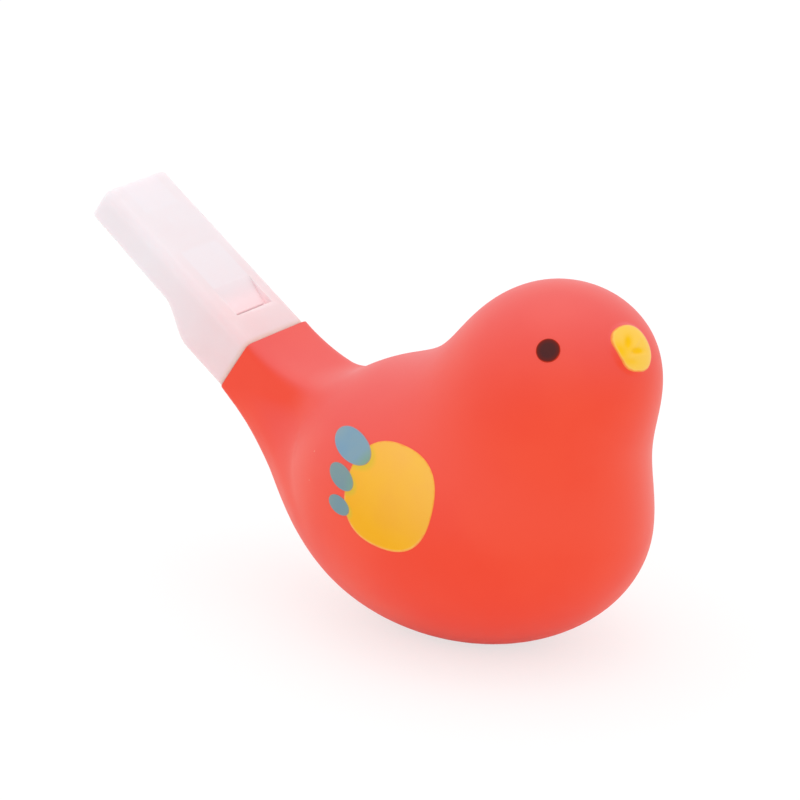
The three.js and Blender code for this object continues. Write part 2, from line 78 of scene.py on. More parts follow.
TAIL_BLENDS = (14.6, 4.3)  # wide where the tail meets the belly, tight where it meets the back
BLEND_HEIGHTS = (-4.0, 5.0)
WALL = 1.6
FLOOR = 2.2
SLEEVE_DEPTH = 8.0
print("neck's rim in mm:", NECK.round(2))


# %% The distance to the skin
def egg(points, centre, radii):
    scaled = (points - centre) / radii
    reach = np.linalg.norm(scaled, axis=-1) + 1e-9
    slope = np.linalg.norm(scaled / radii, axis=-1) + 1e-9
    return reach * (reach - 1) / slope


def soft_min(a, b, width):
    overlap = np.clip(width - np.abs(a - b), 0, None) / width
    return np.minimum(a, b) - overlap**2 * width / 4


def smooth_step(value, low, high):
    share = np.clip((value - low) / (high - low), 0, 1)
    return share * share * (3 - 2 * share)


def squarish(across, up, half_width, top, bottom, square):
    middle, half = (top + bottom) / 2, (top - bottom) / 2
    powers = np.abs(across / half_width)**square + np.abs((up - middle) / half)**square
    return (powers**(1 / square) - 1) * np.minimum(half_width, half)


def body_distance(points):
    from_neck = points - NECK
    depth = from_neck @ INWARD
    up = from_neck @ UPWARD
    d = np.clip(depth, 0, None)
    top = NECK_HALF[1] + BACK_CURVE * d**2
    bottom = -(NECK_HALF[1] + UNDER_SLOPE * d - UNDER_CURVE * d**2)
    square = 2 + (SQUARE - 2) * np.exp(-d / SQUARE_FADE)
    tail = squarish(points[..., 1], up, NECK_HALF[0], top, bottom, square)
    tail = np.maximum(tail, depth - TAIL_END)
    trunk = soft_min(egg(points, HEAD, HEAD_RADII), egg(points, BELLY, BELLY_RADII), NAPE_BLEND)
    above = smooth_step(up, *BLEND_HEIGHTS)
    return soft_min(trunk, tail, TAIL_BLENDS[0] + (TAIL_BLENDS[1] - TAIL_BLENDS[0]) * above)


def hollow_distance(points):
    from_neck = points - NECK
    bore = NECK_HALF - WALL
    sleeve = squarish(points[..., 1], from_neck @ UPWARD, bore[0], bore[1], -bore[1], SQUARE)
    sleeve = np.maximum(sleeve, from_neck @ INWARD - SLEEVE_DEPTH)
    return np.maximum(np.minimum(body_distance(points) + WALL, sleeve), FLOOR - points[..., 2])


belly_side = BELLY + [0.0, BELLY_RADII[1], 0.0]
print("distance at the belly's side in mm:", round(float(body_distance(belly_side)), 3))

# %% [markdown]
# ## Finding the skin along a ray
#
# Rays start inside the bird and walk outwards in short steps until the formula changes sign, and then halve
# the last step again and again. All rays walk together as one array, which makes thirty thousand of them a
# matter of a second.

# %% Walk the rays
RAY_STEP = 0.5
RAY_REACH = 120
HALVINGS = 22


def cast(starts, directions, distance, level=0.0):
    starts = np.asarray(starts, float)
    directions = np.broadcast_to(directions, starts.shape)
    level = np.broadcast_to(level, len(starts))
    far = np.full(len(starts), RAY_STEP)
    going = np.arange(len(starts))
    while len(going) and far.max() < RAY_REACH:
        inside = distance(starts[going] + directions[going] * far[going, None]) < level[going]
        going = going[inside]
        far[going] += RAY_STEP
    near = far - RAY_STEP
    for _ in range(HALVINGS):
        middle = (near + far) / 2
        inside = distance(starts + directions * middle[:, None]) < level
        near, far = np.where(inside, middle, near), np.where(inside, far, middle)
    return starts + directions * ((near + far) / 2)[:, None]


def skin_frame(origin, turn, rise):
    """Where a ray from origin meets the bird, and the skin's normal, forward and upward directions."""
    direction = np.array([math.cos(rise) * math.cos(turn), -math.cos(rise) * math.sin(turn), math.sin(rise)])
    middle = cast([origin], direction, body_distance)[0]
    nudge = 0.05 * np.eye(3)
    normal = body_distance(middle + nudge) - body_distance(middle - nudge)
    normal /= np.linalg.norm(normal)
    forward = np.cross([0, 0, 1.0], normal)
    forward /= np.linalg.norm(forward)
    forward *= -1 if forward[0] < 0 else 1
    upward = np.cross(forward, normal)
    upward *= -1 if upward[2] < 0 else 1
    return {"middle": middle, "normal": normal, "forward": forward, "upward": upward}


BEAK_RISE = math.radians(26.5)
beak_frame = skin_frame(HEAD, 0.0, BEAK_RISE)
beak_frame["forward"] = np.array([0.0, 1.0, 0.0])  # at the front of the face this is the bird's left
print("beak foot in mm:", beak_frame["middle"].round(2))

# %% [markdown]
# ## The beak's relief
#
# The beak is a low pad in the moulding. Two hollows and a slanting ridge between them make it look like a
# small closed bill. Each form is one soft bump or dent given by its middle, its half sizes, its tilt and its
# height, which is easier to change than a sculpted mesh.

# %% Dents and ridges of the bill
BEAK_HALF = np.array([4.3, 4.1])
BEAK_SHIFT = -0.9  # the pad sits a little to the bird's right
BEAK_OUT = 1.6  # half the pad's thickness
BEAK_SUNK = 0.6  # how far its middle lies under the skin
BEAK_BLEND = 0.8
RELIEF_DEPTH = 3.0  # there is no relief deeper than this, which spares the far side of the head
RELIEF_END = 1.25  # where the relief has faded out, as a share of the pad's size
RELIEF_FADE = 0.4
BEAK_FORMS = [  # across and up from the foot, half sizes, tilt in degrees, height
    ((-2.4, 0.95), (1.15, 0.75), 45, -0.42),
    ((-1.7, -0.85), (1.3, 0.5), -14, -0.26),
    ((-1.7, 0.05), (2.2, 0.35), 22, 0.22),
    ((-1.9, -1.7), (2.4, 0.4), -10, 0.20),
    ((1.1, 0.2), (0.8, 1.6), 0, 0.10),
]
BEAK_POOLS_AND_SHADE = [  # the same for the places where the paint gathers and where shade is painted in the hollows and along the edge, with its depth of colour
    ((-2.4, 1.1), (1.25, 0.75), 45, 1.4),
    ((-1.45, -0.85), (1.25, 0.5), -14, 1.7),
    ((-4.6, 0.4), (1.0, 1.8), 6, 0.9),
    ((-3.4, -2.1), (1.3, 0.5), -24, 0.6),
]


def soft_forms(forms, across, up):
    height = np.zeros_like(across)
    for (x, y), (half_x, half_y), tilt, rise in forms:
        c, s = math.cos(math.radians(tilt)), math.sin(math.radians(tilt))
        u, v = (across - x) * c + (up - y) * s, (up - y) * c - (across - x) * s
        height = height + rise * np.exp(-(u / half_x)**2 - (v / half_y)**2)
    return height


def bird_distance(points):
    """The body with its beak, less than zero inside."""
    local = points - (beak_frame["middle"] - BEAK_SUNK * beak_frame["normal"])
    out = local @ beak_frame["normal"]
    across, up = local @ beak_frame["forward"], local @ beak_frame["upward"]
    pad = np.stack([out, across - BEAK_SHIFT, up], -1)
    bump = egg(pad, np.zeros(3), np.array([BEAK_OUT, *BEAK_HALF]))
    from_middle = np.hypot((across - BEAK_SHIFT) / BEAK_HALF[0], up / BEAK_HALF[1])
    near = np.clip(RELIEF_END - from_middle, 0, RELIEF_FADE) / RELIEF_FADE
    relief = soft_forms(BEAK_FORMS, across, up) * near * (out > -RELIEF_DEPTH)
    return soft_min(body_distance(points), bump, BEAK_BLEND) - relief


print("beak forms:", len(BEAK_FORMS), "and paint pools:", len(BEAK_POOLS_AND_SHADE))

# %% [markdown]
# ## The body's rings
#
# A mesh of the body could come from a remesh, but rings that run from the neck to the beak give clean quads
# that follow the form. The rings slide along a curved spine from the neck to the middle of the bird and then
# open like a fan until they close round the beak. The neck's rim gets its own rings, with rounded edges, and
# coarser rings inside make the hollow.

# %% Rings from the neck to the beak
AROUND = 160
HEART = BELLY + [5.0, 0.0, 7.3]  # where the spine ends and the fan opens
BEND = NECK + 16 * INWARD  # what the curved spine leans towards
SPINE_TURN = 1.5  # above 1, the rings turn mostly near the heart
BEAK_MARGIN = 1.6  # the fine rings reach this much wider than the pad
RIM_ROUND = 0.16
to_beak = beak_frame["middle"] - HEART
BEAK_TILT = math.atan2(to_beak[2], to_beak[0])
BEAK_SPREAD = BEAK_MARGIN * math.atan(BEAK_HALF[0] / np.linalg.norm(to_beak))


def ray_ring(share, opening):
    start = (1 - share)**2 * NECK + 2 * share * (1 - share) * BEND + share**2 * HEART
    tilt = -TAIL_RISE + (BEAK_TILT + TAIL_RISE) * share**SPINE_TURN
    ahead = np.array([math.cos(tilt), 0, math.sin(tilt)])
    up = np.array([-math.sin(tilt), 0, math.cos(tilt)])
    aspect = 1 + (NECK_HALF[0] / NECK_HALF[1] - 1) * (1 - share)
    turn = 2 * math.pi * np.arange(AROUND) / AROUND
    angle = np.arctan2(aspect * np.sin(turn), np.cos(turn))[:, None]
    side = np.array([0, 1.0, 0])
    rays = (np.cos(angle) * up + np.sin(angle) * side) * math.cos(opening) + math.sin(opening) * ahead
    return np.tile(start, (AROUND, 1)), rays


def sweep(tail, front, beak):
    """Ray rings, as many as asked along the tail, over the front and over the beak."""
    wide = math.pi / 2 - BEAK_SPREAD
    rings = [ray_ring(i / tail, 0) for i in range(tail + 1)]
    rings += [ray_ring(1, wide * i / front) for i in range(1, front + 1)]
    return rings + [ray_ring(1, wide + BEAK_SPREAD * i / beak) for i in range(1, beak)]


def swept(rings, distance):
    points = cast(np.concatenate([r[0] for r in rings]), np.concatenate([r[1] for r in rings]), distance)
    return points.reshape(len(rings), AROUND, 3)


def pole(distance):
    ahead = np.array([math.cos(BEAK_TILT), 0, math.sin(BEAK_TILT)])
    return cast([HEART], ahead, distance)[0]


def rim(distance, grow):
    """Rings that round one edge of the neck's rim, from inside the neck to its face."""
    starts, rays = ray_ring(0, 0)
    rings = []
    for turn in np.linspace(0, math.pi / 2, 5):
        depth = RIM_ROUND * (1 - math.sin(turn))
        level = grow * RIM_ROUND * (1 - math.cos(turn))
        rings.append(cast(starts + depth * INWARD, rays, distance, level))
    return rings


print("fine rings round the beak open", round(math.degrees(BEAK_SPREAD), 1), "degrees")

# %% [markdown]
# ## From rings to a mesh
#
# One helper turns a list of rings into a closed mesh with a point at each end. It also keeps numbers on the
# points, such as how near a point is to a paint's edge, because a material can read them later.


# %% Make a mesh from rings
def skin_mesh(name, rings, first_pole, last_pole, **point_values):
    around = len(rings[0])
    points = np.concatenate([np.concatenate(rings), [first_pole, last_pole]]) * MM
    count = len(rings)
    faces = []
    for j in range(around):
        k = (j + 1) % around
        faces.append((len(points) - 2, j, k))
        for i in range(count - 1):
            a, b = i * around, (i + 1) * around
            faces.append((a + j, b + j, b + k, a + k))
        end = (count - 1) * around
        faces.append((end + k, end + j, len(points) - 1))
    mesh = bpy.data.meshes.new(name)
    mesh.from_pydata(points.tolist(), [], faces)
    for key, values in point_values.items():
        attribute = mesh.attributes.new(key, "FLOAT", "POINT")
        attribute.data.foreach_set("value", np.asarray(values, np.float32))
    mesh.shade_smooth()
    mesh.validate()
    return mesh


def piece(mesh, body, slot, material, *nodes):
    thing = bpy.data.objects.new(mesh.name, mesh)
    scene.collection.objects.link(thing)
    mesh.materials.append(material)
    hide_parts(*nodes)
    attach(thing, body)
    print(f"{mesh.name}:", len(mesh.polygons), "faces")


# %% [markdown]
# ## Colours and shader building blocks
#
# Colours are written as they look on a screen and changed to the linear values that shaders need. Shaders
# could be joined by hand in the editor. Here a short helper adds a node, sets its values and joins its
# inputs, so that each material reads like a list.


# %% Helpers for shaders
def colour(red, green, blue):
    screen = (red / 255, green / 255, blue / 255)
    linear = [v / 12.92 if v <= 0.04045 else ((v + 0.055) / 1.055)**2.4 for v in screen]
    return (*linear, 1.0)


def grey(level):
    return (level, level, level, 1.0)


def add(tree, kind, inputs=None, **settings):
    node = tree.nodes.new("ShaderNode" + kind)
    for key, value in settings.items():
        setattr(node, key, value)
    for key, value in (inputs or {}).items():
        if isinstance(value, bpy.types.NodeSocket):
            tree.links.new(value, node.inputs[key])
        else:
            node.inputs[key].default_value = value
    return node


def ramp(tree, value, low, high, to_low=0.0, to_high=1.0):
    limits = {"From Min": low, "From Max": high, "To Min": to_low, "To Max": to_high}
    node = add(tree, "MapRange", {"Value": value, **limits}, interpolation_type="SMOOTHSTEP")
    return node.outputs["Result"]


def fade(tree, value, start, end):
    return ramp(tree, value, start, end, 1.0, 0.0)


def mix(tree, factor, a, b, blend="MIX"):
    node = add(tree, "Mix", {0: factor, 6: a, 7: b}, data_type="RGBA", blend_type=blend)
    return node.outputs[2]


def math_node(tree, operation, *values):
    return add(tree, "Math", dict(enumerate(values)), operation=operation).outputs[0]


def times(tree, product, *others):
    for other in others:
        product = math_node(tree, "MULTIPLY", product, other)
    return product


def point_value(tree, name):
    return add(tree, "Attribute", attribute_name=name, attribute_type="GEOMETRY").outputs["Fac"]


print("mid grey on a screen is", round(colour(128, 128, 128)[0], 3), "in linear light")


# %% Helpers for groups and materials
def new_group(name, inputs, outputs):
    group = bpy.data.node_groups.new(name, "ShaderNodeTree")
    for label, kind, value in inputs:
        socket = group.interface.new_socket(label, in_out="INPUT", socket_type="NodeSocket" + kind)
        socket.default_value = value
    for label, kind in outputs:
        group.interface.new_socket(label, in_out="OUTPUT", socket_type="NodeSocket" + kind)
    print("group:", name)
    return group, group.nodes.new("NodeGroupInput").outputs, group.nodes.new("NodeGroupOutput").inputs


def new_material(name):
    material = bpy.data.materials.new(name)
    material.use_nodes = True
    material.node_tree.nodes.clear()
    print("material:", name)
    return material, material.node_tree


def plain_names(values):
    return {key.replace("_", " "): value for key, value in values.items()}


def place_group(tree, group, **values):
    return add(tree, "Group", plain_names(values), node_tree=group).outputs


def finish_material(tree, base, roughness, normal, **more):
    surface = {"Base Color": base, "Roughness": roughness, "Normal": normal}
    shader = add(tree, "BsdfPrincipled", {**surface, **plain_names(more)})
    add(tree, "OutputMaterial", {"Surface": shader.outputs[0]})


# %% [markdown]
# ## What every moulded or painted surface shares
#
# Moulded plastic and sprayed paint are never perfectly even. Both show a broad, faint change of tone, a fine
# grain like orange peel, and here and there a speck of dust that was caught in the surface. This group makes
# the three once, and each material decides how much of each it takes.

# %% The moulded surface group
moulded, given, result = new_group(
    "moulded surface",
    [("Patch Size", "Float", 12.0), ("Grain Size", "Float", 0.7), ("Speck Spacing", "Float", 6.0)],
    [("Tone", "Float"), ("Grain", "Float"), ("Specks", "Float")],
)
SPECK_RADIUS = (0.02, 0.035)  # soft edge, as a share of the spacing
SPECK_RARITY = 0.72
place = add(moulded, "TexCoord").outputs["Object"]


def at_size(label, **more):
    """Inputs of a texture whose features are as many millimetres apart as the group's input says."""
    return {"Vector": place, "Scale": math_node(moulded, "DIVIDE", 1 / MM, given[label]), **more}


patches = add(moulded, "TexNoise", at_size("Patch Size", Detail=3.0, Roughness=0.45))
grain = add(moulded, "TexNoise", at_size("Grain Size", Detail=2.0, Roughness=0.5))
dots = add(moulded, "TexVoronoi", at_size("Speck Spacing", Randomness=1.0))
dot = fade(moulded, dots.outputs["Distance"], *SPECK_RADIUS)
some = add(moulded, "SeparateColor", {"Color": dots.outputs["Color"]}).outputs["Red"]
rare = math_node(moulded, "GREATER_THAN", some, SPECK_RARITY)
moulded.links.new(patches.outputs[0], result["Tone"])
moulded.links.new(grain.outputs[0], result["Grain"])
moulded.links.new(times(moulded, dot, rare), result["Specks"])


# %% Use the group's tone and grain
TONE_LIMITS = (0.3, 0.7)
GRAIN_HEIGHT = 0.1 * MM


def by_tone(tree, surface, low=0.0, high=1.0):
    return ramp(tree, surface["Tone"], *TONE_LIMITS, low, high)


def grain_bump(tree, surface, strength):
    grain_inputs = {"Height": surface["Grain"], "Strength": strength, "Distance": GRAIN_HEIGHT}
    return add(tree, "Bump", grain_inputs).outputs[0]


# %% [markdown]
# ## Satin red vinyl
#
# The vinyl is dyed through, so its colour barely changes. What the eye sees is a soft sheen that turns the
# edges pink, because a satin surface mirrors the bright room most where it is seen at a slant. That comes
# from the shader's own reflection. A painted sheen is added as well: the vinyl is drawn paler pink where it
# faces up, for the soft light from above. The faint tone, the grain and a few specks of dust are drawn too.

# %% The vinyl
VINYL = colour(248, 62, 10)
PAINTED_TOP_SHEEN = 0.28  # painted sheen: how much paler pink a part that faces straight up is drawn, for the light from above
SPECK_STRENGTH = 0.55
red_vinyl, tree = new_material("red_vinyl")
surface = place_group(tree, moulded, Patch_Size=22.0, Grain_Size=0.55, Speck_Spacing=6.0)
toned = mix(tree, ramp(tree, surface["Tone"], 0.35, 0.65), colour(249, 66, 18), colour(247, 58, 4))
dusted = mix(tree, times(tree, surface["Specks"], SPECK_STRENGTH), toned, colour(250, 176, 150))
facing = add(tree, "SeparateXYZ", {0: add(tree, "NewGeometry").outputs["Normal"]}).outputs["Z"]
# painted sheen: the vinyl is drawn paler pink the more it faces up, standing for the soft light from above
with_painted_top_sheen = mix(tree, ramp(tree, facing, -0.1, 1.0, 0.0, PAINTED_TOP_SHEEN), dusted, colour(222, 118, 134))
finish_material(tree, with_painted_top_sheen, by_tone(tree, surface, 0.44, 0.52), grain_bump(tree, surface, 0.08),
                Sheen_Weight=0.14, Sheen_Roughness=0.55, Sheen_Tint=(0.85, 0.80, 0.88, 1.0),
                Specular_IOR_Level=0.5)

# %% [markdown]
# ## Paint with a soft edge
#
# The beak, the eyes and the wing marks are sprayed through masks, so each coat is thin at its outline and the
# red shows through there. Each coat's mesh keeps how near a point is to the outline as a number called edge.
# This group mixes the paint with the red by that number, a little unevenly.

# %% The paint group
WAVER = 0.06  # how far the edge wanders, in shares of the coat's size
thin_edge, given, result = new_group(
    "paint with a thin edge",
    [("Paint", "Color", (1, 1, 1, 1)), ("Under", "Color", VINYL), ("Edge Start", "Float", 0.93),
     ("Show Through", "Float", 0.6)],
    [("Color", "Color")],
)
place = add(thin_edge, "TexCoord").outputs["Object"]
ragged = add(thin_edge, "TexNoise", {"Vector": place, "Scale": 900.0, "Detail": 2.0}).outputs[0]
wavy = math_node(thin_edge, "MULTIPLY_ADD", ragged, WAVER, -WAVER / 2)
near_edge = math_node(thin_edge, "ADD", point_value(thin_edge, "edge"), wavy)
rim_mask = ramp(thin_edge, near_edge, given["Edge Start"], 1.0)
amount = times(thin_edge, rim_mask, given["Show Through"])
thin_edge.links.new(mix(thin_edge, amount, given["Paint"], given["Under"]), result["Color"])

# %% [markdown]
# ## The coats of paint
#
# The yellow patch is paler towards its top. The blue ovals are sprayed over it, so
# they turn a little green where the yellow is under them, and a faint green haze of overspray lies on the
# yellow beside them. The bill's yellow is deeper where the paint pools, and the same deeper yellow is painted
# shade in its hollows and along its left and lower edge; it is paler at its outline. One function makes
# all four paints, because they differ only in colour, gloss and how thin they get at the edge.


# %% The paints
def paint(name, base, roughness, edge_start, show_through, gloss):
    material, tree = new_material(name)
    surface = place_group(tree, moulded, Patch_Size=7.0, Grain_Size=0.4)
    shade = mix(tree, by_tone(tree, surface, 0.0, 0.35), base(tree), colour(255, 214, 130), "SOFT_LIGHT")
    coat = place_group(tree, thin_edge, Paint=shade, Under=VINYL, Edge_Start=edge_start,
                       Show_Through=show_through)
    level = by_tone(tree, surface, roughness - 0.04, roughness + 0.04)
    finish_material(tree, coat["Color"], level, grain_bump(tree, surface, 0.1), Specular_IOR_Level=gloss)
    return material


def wing_base(tree):
    pale = point_value(tree, "pale")
    plain = mix(tree, pale, colour(245, 175, 4), colour(252, 188, 80))
    outline = ramp(tree, point_value(tree, "edge"), 0.95, 0.985)
    thin = times(tree, outline, ramp(tree, pale, 0.15, 0.6, 0.6, 0.0))
    edged = mix(tree, thin, plain, colour(255, 196, 122))
    return mix(tree, point_value(tree, "haze"), edged, colour(214, 186, 52))


def feather_base(tree):
    blue = mix(tree, point_value(tree, "small"), colour(118, 157, 183), colour(114, 147, 158))
    return mix(tree, point_value(tree, "over"), blue, colour(116, 158, 146))


def beak_base(tree):
    # deeper yellow: partly paint that pools, partly painted shade in the hollows and along the left and lower
    # edge
    pooled = mix(tree, point_value(tree, "pool"), colour(255, 202, 86), colour(255, 196, 0))
    outline = ramp(tree, point_value(tree, "edge"), 0.90, 0.98, 0.0, 0.4)
    return mix(tree, outline, pooled, colour(255, 210, 132))


def eye_base(tree):
    outline = ramp(tree, point_value(tree, "edge"), 0.5, 1.0)
    return mix(tree, outline, colour(70, 34, 40), colour(98, 28, 26))


wing_yellow = paint("wing_yellow", wing_base, 0.45, 0.965, 0.35, gloss=0.25)
feather_blue = paint("feather_blue", feather_base, 0.45, 0.94, 0.30, gloss=0.4)
beak_yellow = paint("beak_yellow", beak_base, 0.38, 0.94, 0.55, gloss=0.12)
eye_brown = paint("eye_brown", eye_base, 0.35, 0.88, 0.55, gloss=0.12)

# %% [markdown]
# ## The sizes of the whistle
#
# The whistle is drawn along its own axis, with x growing from the neck's rim into the bird, and is tilted
# into place at the end. Its sizes come first, because the milky plastic needs some of them to know where the
# channel and the recess are.

# %% Sizes of the mouthpiece
GAP = 0.3  # between pieces that slide or press into each other
SEAT = 0.04  # the shoulder all but touches the neck's rim
SET_IN = 0.2  # how much smaller than the neck the mouthpiece is all round
GRIP = NECK_HALF[1] - SET_IN
LENGTH = 39.3
GRIP_END = 9.9  # where the step for the teeth begins, out from the neck
LIP_START = 18.7
LIP_HEIGHT = 7.3
MOUTH_HEIGHT = 6.8
TOP_CORNER = 1.9
UNDER_CORNER = 0.9
SPIGOT_LENGTH = 9.5
SPIGOT = NECK_HALF - WALL - GAP  # half its width and half its height
SPIGOT_CORNER = 2.0
SPIGOT_WALL = 1.3
CHAMBER = SPIGOT - SPIGOT_WALL
LABIUM = 6.1  # the edge that splits the air, out from the neck
SLOT = 1.2
LABIUM_RUN = 3.0  # the slope behind the edge
RAMP_START = 12.7  # the recess slopes down from here to the labium
RAMP_DEPTH = 1.9
RECESS_HALF = 4.85
BLOCK_END = 22.0  # the block's outer end, out from the neck
BLOCK_THICKNESS = 1.1
ROOF = 2.95  # the windway's over the block, up from the whistle's axis
WAY_HEIGHT = 1.6
WAY_FLOOR = ROOF - WAY_HEIGHT
JET = (ROOF + WAY_FLOOR) / 2  # the middle of the air's way
POCKET_DEPTH = 8.4
POCKET_HALF = 4.8
POCKET_INNER = 3.2  # the radius of its inner end
POCKET_HEIGHT = 3.2
BEYOND = 2.0  # how far a cut reaches past the surface that it opens
slot_start = LABIUM + SLOT
print("windway from", round(slot_start, 1), "to", round(LENGTH - POCKET_DEPTH, 1), "mm out from the neck")

# %% [markdown]
# ## Places on the whistle
#
# Some of the plastic's tones belong to places: near the neck, over the channel, in the recess. This group
# turns a point's place into millimetres out from the neck, to either side of the middle, and up, so that a
# mask is only a matter of two limits.

# %% The group of places
whistle_place, _, result = new_group(
    "places on the whistle", [], [("Out", "Float"), ("Across", "Float"), ("Up", "Float")])
place = add(whistle_place, "TexCoord").outputs["Object"]
shift = add(whistle_place, "VectorMath", {0: place, 1: Vector(NECK * MM)}, operation="SUBTRACT")
for label, axis in (("Out", -INWARD), ("Across", np.array([0, 1.0, 0])), ("Up", UPWARD)):
    along_axis = {0: shift.outputs[0], 1: Vector(axis / MM)}
    length = add(whistle_place, "VectorMath", along_axis, operation="DOT_PRODUCT").outputs["Value"]
    if label == "Across":
        length = math_node(whistle_place, "ABSOLUTE", length)
    whistle_place.links.new(length, result[label])

# %% [markdown]
# ## Milky plastic
#
# The mouthpiece is a natural, undyed plastic. Light goes about a millimetre into it and comes out again, so
# it looks soft and bright. Subsurface scattering gives that. Light that passes right through the thin walls
# would be truer but takes far longer to compute. So three things are drawn instead, from the real places of
# the walls: a warmer tone towards the bird, paler tones over the channel and the mouth pocket, and a faint
# glow in the recess.

# %% The milky plastic
milky_plastic, tree = new_material("milky_plastic")
surface = place_group(tree, moulded, Patch_Size=9.0, Grain_Size=0.8)
spot = place_group(tree, whistle_place)
out, across, up = spot["Out"], spot["Across"], spot["Up"]
# painted light: pinker towards the bird, for the body's red light coming through the plastic, with an orange
# band right at the neck's rim
near_neck = fade(tree, out, 0.0, 26.0)
lit = mix(tree, near_neck, colour(255, 237, 241), colour(255, 217, 219))
at_rim = times(tree, fade(tree, out, 0.0, 1.2), ramp(tree, out, -0.3, 0.0))
lit = mix(tree, at_rim, lit, colour(255, 200, 184))
cloudy = mix(tree, by_tone(tree, surface, 0.0, 0.4), lit, colour(253, 231, 234))
# painted light: paler over the channel and the mouth pocket, where the hollows behind the thin wall show
# through
along = times(tree, fade(tree, out, BLOCK_END - 0.6, BLOCK_END + 0.4), ramp(tree, out, 6.0, 12.0))
over_channel = times(tree, fade(tree, across, 4.5, 5.1), along)
over_pocket = times(tree, fade(tree, across, 4.0, 4.9), ramp(tree, out, 31.2, 32.4))
over_either = math_node(tree, "MAXIMUM", over_channel, over_pocket)
lighter = times(tree, over_either, ramp(tree, up, 3.6, 5.0))
faint = mix(tree, times(tree, lighter, 0.5), cloudy, colour(255, 240, 245))

# %% The glow in the recess
# painted light: a faint emission that lifts the shade between the recess's walls, for light that would come
# through them
GLOW = 0.12
between_walls = fade(tree, across, RECESS_HALF + 0.05, RECESS_HALF + 0.35)
along = times(tree, ramp(tree, out, LABIUM - 0.5, LABIUM - 0.1), fade(tree, out, 8.5, RAMP_START - 0.2))
sunk = times(tree, fade(tree, up, 4.3, 5.5), ramp(tree, up, 1.0, 2.0))
shine = mix(tree, times(tree, between_walls, along, sunk), grey(0.0), colour(255, 226, 230))
finish_material(tree, faint, by_tone(tree, surface, 0.36, 0.44), grain_bump(tree, surface, 0.06),
                Subsurface_Weight=1.0, Subsurface_Scale=1.2 * MM, Subsurface_Radius=(1.0, 0.9, 0.9),
                IOR=1.45, Specular_IOR_Level=0.4, Emission_Color=shine, Emission_Strength=GLOW)

# %% [markdown]
# ## White plastic
#
# The tube and the block inside are a plain white plastic. It needs no glow, because the tube is seen only
# when the whistle is pulled out, and the block hardly at all.

# %% The white plastic
white_plastic, tree = new_material("white_plastic")
surface = place_group(tree, moulded, Patch_Size=9.0, Grain_Size=0.6)
toned = mix(tree, by_tone(tree, surface), colour(247, 242, 240), colour(240, 234, 232))
finish_material(tree, toned, by_tone(tree, surface, 0.36, 0.44), grain_bump(tree, surface, 0.08))

# %% [markdown]
# ## The body
#
# The rings are cast and joined: first the hollow from the beak's end back to the neck, then round the rim,
# and then the outside forward again to the beak. Points below the table are lifted onto it, which makes the
# small flat that the toy rests on.

# %% Build the body
outside = swept(sweep(tail=84, front=62, beak=30), bird_distance)[1:]
inside = swept(sweep(tail=30, front=20, beak=6), hollow_distance)[1:][::-1]
rim_rings = rim(hollow_distance, 1) + rim(body_distance, -1)[::-1]
rings = np.concatenate([inside, rim_rings, outside])
rings[..., 2] = np.maximum(rings[..., 2], 0)
body_mesh = skin_mesh("bird_body", rings, pole(hollow_distance), pole(bird_distance))
piece(body_mesh, "bird", "red_vinyl", red_vinyl, "body_shell")

# %% [markdown]
# ## Paint lies on the skin
#
# A coat could be a colour drawn in the body's own material. A thin mesh of its own is better here, because
# each coat is a part with its own finish. Its rings are cast onto the same formula, so it follows the skin
# exactly, a few hundredths of a millimetre above it, and its edge rolls over and dips just under the skin.
# The underside follows the skin as well, because a flat one would show through the beak's hollows.

# %% A coat on the skin
UNDERSIDE = -0.8  # in shares of the lift, like the edge's lifts
EDGE_SHARES = [0.93, 0.96, 0.98, 0.99, 0.995, 1.0, 1.0]
EDGE_LIFTS = [1.0, 1.0, 0.97, 0.9, 0.75, 0.3, UNDERSIDE]
UNDER_SHARE = 0.9  # where the underside's first ring lies
RING_APART = 0.02  # and the least distance to the next
RAYS_START = 8  # how far under the skin the rays begin


def coat(on, centre, outline, lift, rings_in, steps, **fields):
    """A thin closed film. outline gives forward and up for each angle; fields give point values."""
    angles = 2 * math.pi * np.arange(steps) / steps
    shape = np.array([outline(a) for a in angles])
    inner = list(np.linspace(0, EDGE_SHARES[0], rings_in + 1)[1:-1])
    under = [UNDER_SHARE] + [share for share in inner[::-1] if share < UNDER_SHARE - RING_APART]
    shares = inner + EDGE_SHARES + under
    lifts = [1.0] * len(inner) + EDGE_LIFTS + [UNDERSIDE] * len(under)
    flat = np.array([np.array(centre) + s * shape for s in shares])

    def on_skin(flat_points, levels):
        in_plane = flat_points[:, :1] * on["forward"] + flat_points[:, 1:] * on["upward"]
        starts = on["middle"] + in_plane - RAYS_START * on["normal"]
        return cast(starts, on["normal"], bird_distance, levels)

    points = on_skin(flat.reshape(-1, 2), np.repeat(np.array(lifts) * lift, steps)).reshape(-1, steps, 3)
    poles = on_skin(np.array([centre, centre], float), np.array([lift, UNDERSIDE * lift]))
    values = {"edge": np.concatenate([np.repeat(shares, steps), [0, 0]])}
    everywhere = np.concatenate([flat.reshape(-1, 2), [centre, centre]])
    values.update({key: field(everywhere) for key, field in fields.items()})
    return points, poles, values


def mirrored(points):
    return points * np.array([1, -1, 1])


def paint_pair(name, node, slot, material, *place, **shape):
    points, poles, values = coat(*place, **shape)
    for side in ("right", "left"):
        rings, ends = points, poles
        if side == "left":
            rings, ends = mirrored(points)[:, ::-1], mirrored(poles)
        mesh = skin_mesh(f"{name}_{side}", rings, *ends, **values)
        piece(mesh, "bird", slot, material, f"{node}_{side}")


# %% [markdown]
# ## Beak and eyes
#
# The beak's paint covers the pad with a slightly uneven outline, and the eyes are round dots. Their places
# are angles round the head, and the outlines are millimetres on the skin, so each is easy to move.


